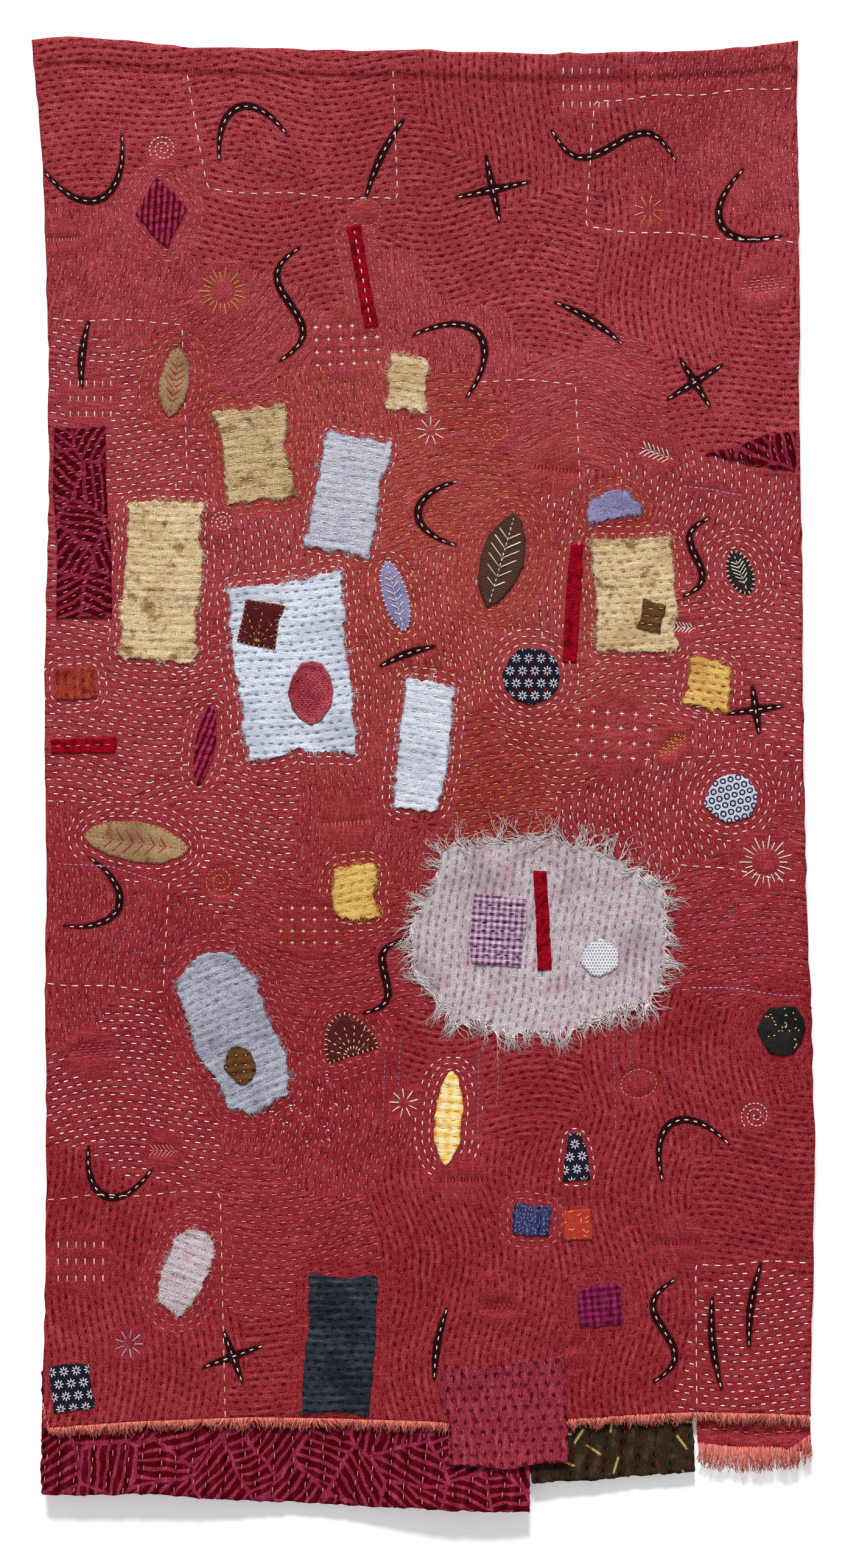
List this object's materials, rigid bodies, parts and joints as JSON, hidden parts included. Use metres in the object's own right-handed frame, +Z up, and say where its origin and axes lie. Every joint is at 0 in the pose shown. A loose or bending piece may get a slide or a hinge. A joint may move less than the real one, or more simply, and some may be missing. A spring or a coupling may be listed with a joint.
{
  "type": "stitched applique wall hanging",
  "caption": "Quilted red linen wall hanging with cloth patches sewn on its face, a frayed hem fringe and cloth strips hanging below the hem.",
  "frame": {"origin": "on the top edge at the middle of the width, where the hanging is held", "axes": "+Z up along the hanging's length, +X to the right as the face is seen, the face looks along -Y"},
  "size_m": [0.6175, 0.0171, 1.163],
  "materials": {
    "red_linen": "matte slubby plain weave, hand quilted",
    "salmon_fringe": "matte frayed linen threads",
    "magenta_print": "matte printed cotton, hatched stripes",
    "brown_cloth": "matte dark cotton with ochre thread",
    "cream_cloth": "matte stained old linen",
    "tan_cloth": "matte coarse linen",
    "khaki_cloth": "matte linen",
    "mist_cloth": "matte thin grey-blue linen",
    "pale_blue_cloth": "matte thin washed cotton",
    "grey_cloth": "matte worn gauze, torn edges",
    "blue_grey_cloth": "matte worn cotton, torn edges",
    "lilac_cloth": "matte cotton",
    "yellow_cloth": "matte cotton",
    "yellow_check": "matte yellow and white check",
    "crimson_velvet": "soft short pile",
    "plum_print": "matte striped cotton",
    "maroon_print": "matte printed cotton",
    "rose_thread": "matte cotton, closely stitched",
    "russet_cloth": "matte cotton",
    "dark_brown_cloth": "matte cotton",
    "black_print": "matte black cotton with small white flowers",
    "black_cloth": "matte black cotton",
    "ring_print": "matte cotton with blue rings",
    "gingham_cloth": "matte gingham",
    "white_lace": "matte white net",
    "navy_print": "matte navy cotton with small marks",
    "red_gold_print": "matte red cotton with gold marks",
    "plaid_cloth": "matte plaid cotton",
    "charcoal_cloth": "matte coarse dark linen",
    "dotted_print": "matte rose cotton with dark dots"
  },
  "bodies": {
    "root": {"main_cloth": "red_linen", "print_strip": "magenta_print", "brown_strip": "brown_cloth", "red_strip": "red_linen", "hem_fringe": "salmon_fringe", "red_strip_fringe": "salmon_fringe", "grey_rag_fringe": "grey_cloth", "plum_diamond": "plum_print", "cream_frayed_small": "cream_cloth", "khaki_leaf_tall": "khaki_cloth", "tan_block": "tan_cloth", "cream_tall": "cream_cloth", "magenta_tall": "magenta_print", "mist_block": "mist_cloth", "pale_blue_large": "pale_blue_cloth", "maroon_square": "maroon_print", "rose_oval": "rose_thread", "lilac_leaf": "lilac_cloth", "pale_blue_strip": "pale_blue_cloth", "striped_leaf": "plum_print", "russet_square": "russet_cloth", "ribbon_short": "crimson_velvet", "khaki_leaf_wide": "khaki_cloth", "ribbon_left": "crimson_velvet", "dark_leaf": "dark_brown_cloth", "flower_print": "black_print", "cream_stained": "cream_cloth", "brown_square": "brown_cloth", "lilac_half_moon": "lilac_cloth", "ribbon_right": "crimson_velvet", "yellow_left": "yellow_cloth", "yellow_right": "yellow_cloth", "black_leaf": "black_cloth", "magenta_wedge": "magenta_print", "ring_print": "ring_print", "grey_rag_large": "grey_cloth", "gingham_patch": "gingham_cloth", "crimson_sliver": "crimson_velvet", "lace_scrap": "white_lace", "maroon_fan": "maroon_print", "blue_rag": "blue_grey_cloth", "brown_oval": "brown_cloth", "yellow_check_leaf": "yellow_check", "dark_disc": "black_cloth", "print_tall": "black_print", "navy_square": "navy_print", "red_gold_square": "red_gold_print", "plaid_square": "plaid_cloth", "grey_rag_small": "grey_cloth", "charcoal_block": "charcoal_cloth", "print_corner": "black_print", "dotted_patch": "dotted_print"}
  },
  "joints": []
}
